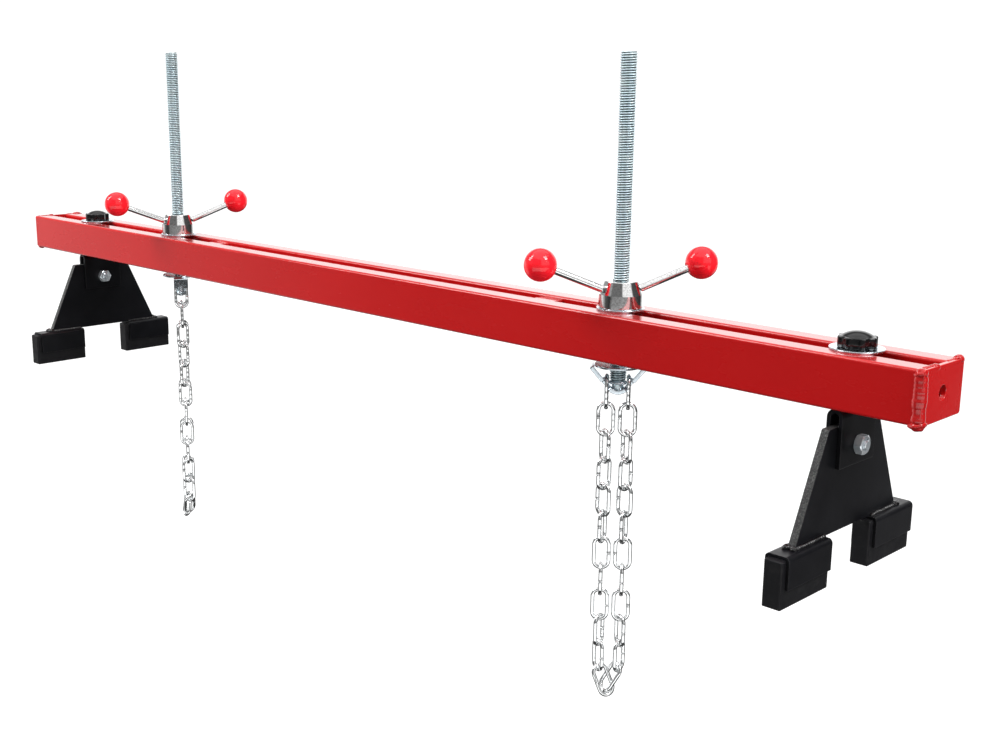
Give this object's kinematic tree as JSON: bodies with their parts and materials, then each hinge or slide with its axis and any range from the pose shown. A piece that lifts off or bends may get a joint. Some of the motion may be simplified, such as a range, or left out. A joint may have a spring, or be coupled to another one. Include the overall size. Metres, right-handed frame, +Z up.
{
  "type": "engine support bar",
  "caption": "Twin-rail beam on tilting padded feet that carries screw-jack lifting units with lever nuts and looped chains.",
  "frame": {"origin": "middle of the beam's length and width, on the rails' top face", "axes": "+X along the beam towards its right end, +Y across the beam towards the rear rail, +Z up"},
  "size_m": [1.55, 0.232, 0.6931],
  "materials": {
    "red_paint": "glossy red enamel over welded steel tube",
    "polished_chrome": "polished chrome plate",
    "red_ball": "smooth glossy red plastic",
    "zinc_plate": "bright zinc plate",
    "chain_zinc": "bright zinc plate on welded round-wire links",
    "black_paint": "satin-gloss black powder coat over welded steel",
    "black_plastic": "moulded black plastic, semi-gloss",
    "pad_rubber": "matte black rubber"
  },
  "bodies": {
    "beam": {"front_rail": "red_paint", "rear_rail": "red_paint", "end_plate_left": "red_paint", "end_plate_right": "red_paint", "slot_spacer_left": "red_paint", "slot_spacer_right": "red_paint"},
    "lift_carriage_left": {"thrust_washer_left": "zinc_plate"},
    "hand_nut_left": {"hand_nut_left": "polished_chrome", "lever_rods_left": "polished_chrome", "ball_knobs_left": "red_ball"},
    "lift_screw_left": {"lift_screw_left": "zinc_plate", "chain_saddle_left": "zinc_plate", "chain_first_links_left": "chain_zinc"},
    "saddle_washer_left": {"saddle_washer_left": "zinc_plate"},
    "chain_upper_left": {"chain_upper_left": "chain_zinc"},
    "chain_lower_left": {"chain_lower_left": "chain_zinc"},
    "foot_carriage_left": {"foot_washer_left": "zinc_plate"},
    "star_knob_left": {"star_knob_left": "black_plastic"},
    "clamp_stud_left": {"clamp_stud_left": "zinc_plate"},
    "clevis_left": {"clevis_left": "black_paint", "pivot_bolt_left": "zinc_plate", "pivot_nut_left": "zinc_plate"},
    "foot_plate_left": {"foot_plate_left": "black_paint", "pad_channels_left": "black_paint", "rubber_pads_left": "pad_rubber"},
    "lift_carriage_right": {"thrust_washer_right": "zinc_plate"},
    "hand_nut_right": {"hand_nut_right": "polished_chrome", "lever_rods_right": "polished_chrome", "ball_knobs_right": "red_ball"},
    "lift_screw_right": {"lift_screw_right": "zinc_plate", "chain_saddle_right": "zinc_plate", "chain_first_links_right": "chain_zinc"},
    "saddle_washer_right": {"saddle_washer_right": "zinc_plate"},
    "chain_upper_right": {"chain_upper_right": "chain_zinc"},
    "chain_lower_right": {"chain_lower_right": "chain_zinc"},
    "foot_carriage_right": {"foot_washer_right": "zinc_plate"},
    "star_knob_right": {"star_knob_right": "black_plastic"},
    "clamp_stud_right": {"clamp_stud_right": "zinc_plate"},
    "clevis_right": {"clevis_right": "black_paint", "pivot_bolt_right": "zinc_plate", "pivot_nut_right": "zinc_plate"},
    "foot_plate_right": {"foot_plate_right": "black_paint", "pad_channels_right": "black_paint", "rubber_pads_right": "pad_rubber"}
  },
  "joints": [
    {"name": "lift_unit_slide_left", "type": "slide", "parent": "beam", "child": "lift_carriage_left", "axis": [1, 0, 0], "range_m": [-0.075, 0.066]},
    {"name": "hand_nut_spin_left", "type": "hinge", "parent": "lift_carriage_left", "child": "hand_nut_left", "pos_m": [-0.4086, 0, 0.0165], "axis": [0, 0, 1], "range_deg": [-576, 32400]},
    {"name": "lift_screw_travel_left", "type": "slide", "parent": "lift_carriage_left", "child": "lift_screw_left", "axis": [0, 0, 1], "range_m": [-0.2251, 0.0041]},
    {"name": "saddle_washer_lift_left", "type": "slide", "parent": "lift_screw_left", "child": "saddle_washer_left", "axis": [0, 0, 1], "range_m": [0, 0.005]},
    {"name": "chain_swing_left", "type": "hinge", "parent": "lift_screw_left", "child": "chain_upper_left", "pos_m": [-0.4086, 0, -0.1005], "axis": [0.848, -0.5299, 0], "range_deg": [-45, 45]},
    {"name": "chain_fold_left", "type": "hinge", "parent": "chain_upper_left", "child": "chain_lower_left", "pos_m": [-0.4086, 0, -0.2845], "axis": [0.848, -0.5299, 0], "range_deg": [-60, 60]},
    {"name": "foot_slide_left", "type": "slide", "parent": "beam", "child": "foot_carriage_left", "axis": [1, 0, 0], "range_m": [-0.103, 0.098]},
    {"name": "star_knob_turn_left", "type": "hinge", "parent": "foot_carriage_left", "child": "star_knob_left", "pos_m": [-0.642, 0, 0.008], "axis": [0, 0, 1], "range_deg": [-1, 721]},
    {"name": "clamp_stud_travel_left", "type": "slide", "parent": "foot_carriage_left", "child": "clamp_stud_left", "axis": [0, 0, 1], "range_m": [-0.0025, 0]},
    {"name": "foot_swivel_left", "type": "hinge", "parent": "clamp_stud_left", "child": "clevis_left", "pos_m": [-0.642, 0, -0.05], "axis": [0, 0, 1], "range_deg": [-45, 45]},
    {"name": "foot_tilt_left", "type": "hinge", "parent": "clevis_left", "child": "foot_plate_left", "pos_m": [-0.642, 0, -0.086], "axis": [1, 0, 0], "range_deg": [-15, 15]},
    {"name": "lift_unit_slide_right", "type": "slide", "parent": "beam", "child": "lift_carriage_right", "axis": [1, 0, 0], "range_m": [-0.078, 0.075]},
    {"name": "hand_nut_spin_right", "type": "hinge", "parent": "lift_carriage_right", "child": "hand_nut_right", "pos_m": [0.4202, 0, 0.0165], "axis": [0, 0, 1], "range_deg": [-576, 32400]},
    {"name": "lift_screw_travel_right", "type": "slide", "parent": "lift_carriage_right", "child": "lift_screw_right", "axis": [0, 0, 1], "range_m": [-0.2251, 0.0041]},
    {"name": "saddle_washer_lift_right", "type": "slide", "parent": "lift_screw_right", "child": "saddle_washer_right", "axis": [0, 0, 1], "range_m": [0, 0.005]},
    {"name": "chain_swing_right", "type": "hinge", "parent": "lift_screw_right", "child": "chain_upper_right", "pos_m": [0.4202, 0, -0.1005], "axis": [0.7826, 0.6225, 0], "range_deg": [-45, 45]},
    {"name": "chain_fold_right", "type": "hinge", "parent": "chain_upper_right", "child": "chain_lower_right", "pos_m": [0.4202, 0, -0.2845], "axis": [0.7826, 0.6225, 0], "range_deg": [-60, 60]},
    {"name": "foot_slide_right", "type": "slide", "parent": "beam", "child": "foot_carriage_right", "axis": [1, 0, 0], "range_m": [-0.1475, 0.0535]},
    {"name": "star_knob_turn_right", "type": "hinge", "parent": "foot_carriage_right", "child": "star_knob_right", "pos_m": [0.6915, 0, 0.008], "axis": [0, 0, 1], "range_deg": [-1, 721]},
    {"name": "clamp_stud_travel_right", "type": "slide", "parent": "foot_carriage_right", "child": "clamp_stud_right", "axis": [0, 0, 1], "range_m": [-0.0025, 0]},
    {"name": "foot_swivel_right", "type": "hinge", "parent": "clamp_stud_right", "child": "clevis_right", "pos_m": [0.6915, 0, -0.05], "axis": [0, 0, 1], "range_deg": [-45, 45]},
    {"name": "foot_tilt_right", "type": "hinge", "parent": "clevis_right", "child": "foot_plate_right", "pos_m": [0.6915, 0, -0.086], "axis": [1, 0, 0], "range_deg": [-15, 15]}
  ],
  "couplings": [
    {"joint": "lift_screw_travel_left", "follows": "hand_nut_spin_left", "m_per_rad": -0.00039789},
    {"joint": "star_knob_turn_left", "follows": "clamp_stud_travel_left", "rad_per_m": -5026.5},
    {"joint": "lift_screw_travel_right", "follows": "hand_nut_spin_right", "m_per_rad": -0.00039789},
    {"joint": "star_knob_turn_right", "follows": "clamp_stud_travel_right", "rad_per_m": -5026.5}
  ]
}
